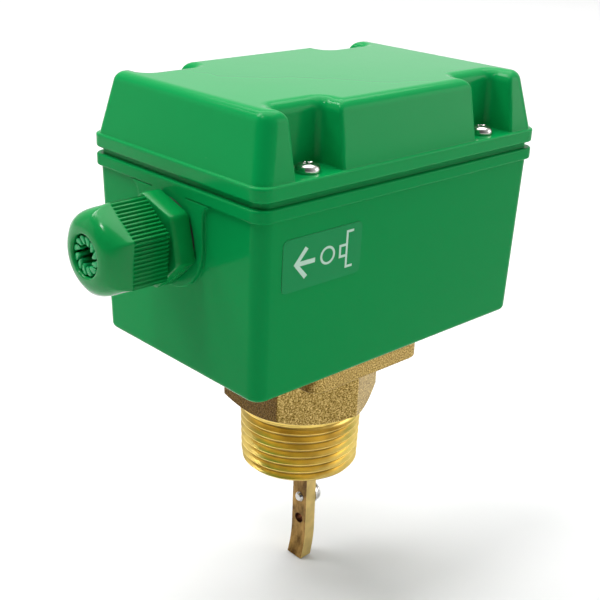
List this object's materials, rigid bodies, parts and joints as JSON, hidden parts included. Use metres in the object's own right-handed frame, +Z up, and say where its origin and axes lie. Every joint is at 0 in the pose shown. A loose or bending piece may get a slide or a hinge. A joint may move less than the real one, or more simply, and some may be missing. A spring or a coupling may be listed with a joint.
{
  "type": "paddle flow switch",
  "caption": "Paddle flow switch: green box housing with screwed lid and cable gland on a brass body with one inch pipe thread; the flow swings the arm and trips a snap switch.",
  "frame": {"origin": "thread axis at the shoulder where the thread meets the hexagon", "axes": "+Z up through the housing, -Z down the thread into the pipe, -X the flow direction and the side of the cable gland"},
  "size_m": [0.1182, 0.0632, 0.1407],
  "materials": {
    "green_housing": "glossy moulded green",
    "green_gland": "glossy moulded green nylon",
    "cast_brass": "sand cast, with a machined thread",
    "drawn_brass": "drawn bar, satin",
    "stainless": "polished stainless steel",
    "zinc_steel": "zinc plated pressed steel",
    "spring_steel": "spring steel",
    "bronze_bellows": "thin phosphor bronze",
    "black_rubber": "matt rubber",
    "black_switch": "moulded switch case",
    "red_plunger": "red plunger",
    "label_film": "clear film sticker"
  },
  "bodies": {
    "housing": {"base_housing": "green_housing", "lid_inserts": "drawn_brass", "brass_body": "cast_brass", "plate_gasket": "black_rubber", "body_screws": "zinc_steel", "gland_body": "green_gland", "gland_washer": "black_rubber", "gland_locknut": "green_gland", "gland_seal": "black_rubber", "pivot_yoke": "drawn_brass", "pivot_pin": "stainless", "bellows": "bronze_bellows", "mechanism_bracket": "zinc_steel", "range_spring": "spring_steel", "switch_body": "black_switch", "switch_screws": "zinc_steel", "switch_terminals": "drawn_brass", "terminal_screws": "zinc_steel", "ground_clamp": "zinc_steel", "ground_screw": "zinc_steel", "direction_label": "label_film"},
    "paddle_lever": {"paddle_arm": "drawn_brass", "paddle_screw": "stainless", "paddle_washer": "stainless", "lever_rod": "stainless", "bellows_cap": "drawn_brass", "trip_lever": "zinc_steel", "rod_nut": "zinc_steel"},
    "switch_plunger": {"switch_plunger": "red_plunger"},
    "range_screw": {"range_screw": "zinc_steel", "screw_clip": "spring_steel"},
    "spring_nut": {"spring_nut": "zinc_steel"},
    "gland_clamp": {"gland_clamp": "green_gland"},
    "gland_nut": {"gland_nut": "green_gland"},
    "lid": {"lid": "green_housing", "lid_gasket": "black_rubber", "lid_screws": "stainless"}
  },
  "joints": [
    {"name": "paddle_swing", "type": "hinge", "parent": "housing", "child": "paddle_lever", "pos_m": [0, 0, 0.008], "axis": [0, 1, 0], "range_deg": [0, 3.5], "stiffness_Nm_per_rad": 0.4, "springref_deg": -4.58, "deforming": ["range_spring"]},
    {"name": "plunger_slide", "type": "slide", "parent": "housing", "child": "switch_plunger", "axis": [1, 0, 0], "range_m": [0, 0.0024]},
    {"name": "spring_nut_slide", "type": "slide", "parent": "housing", "child": "spring_nut", "axis": [0, 0, -1], "range_m": [0, 0.0049], "deforming": ["range_spring"]},
    {"name": "range_screw_turn", "type": "hinge", "parent": "housing", "child": "range_screw", "pos_m": [-0.013, 0, 0.0671], "axis": [0, 0, 1], "range_deg": [0, 2520]},
    {"name": "gland_clamp_slide", "type": "slide", "parent": "housing", "child": "gland_clamp", "axis": [-1, 0, 0], "range_m": [0, 0.0045]},
    {"name": "gland_nut_turn", "type": "hinge", "parent": "gland_clamp", "child": "gland_nut", "pos_m": [-0.0584, 0, 0.0556], "axis": [-1, 0, 0], "range_deg": [0, 1080]},
    {"name": "lid_lift", "type": "slide", "parent": "housing", "child": "lid", "axis": [0, 0, 1], "range_m": [0, 0.03]}
  ],
  "couplings": [
    {"joint": "plunger_slide", "follows": "paddle_swing", "m_per_rad": 0.0377},
    {"joint": "range_screw_turn", "follows": "spring_nut_slide", "rad_per_m": 8975.9},
    {"joint": "gland_nut_turn", "follows": "gland_clamp_slide", "rad_per_m": 4188.7}
  ]
}
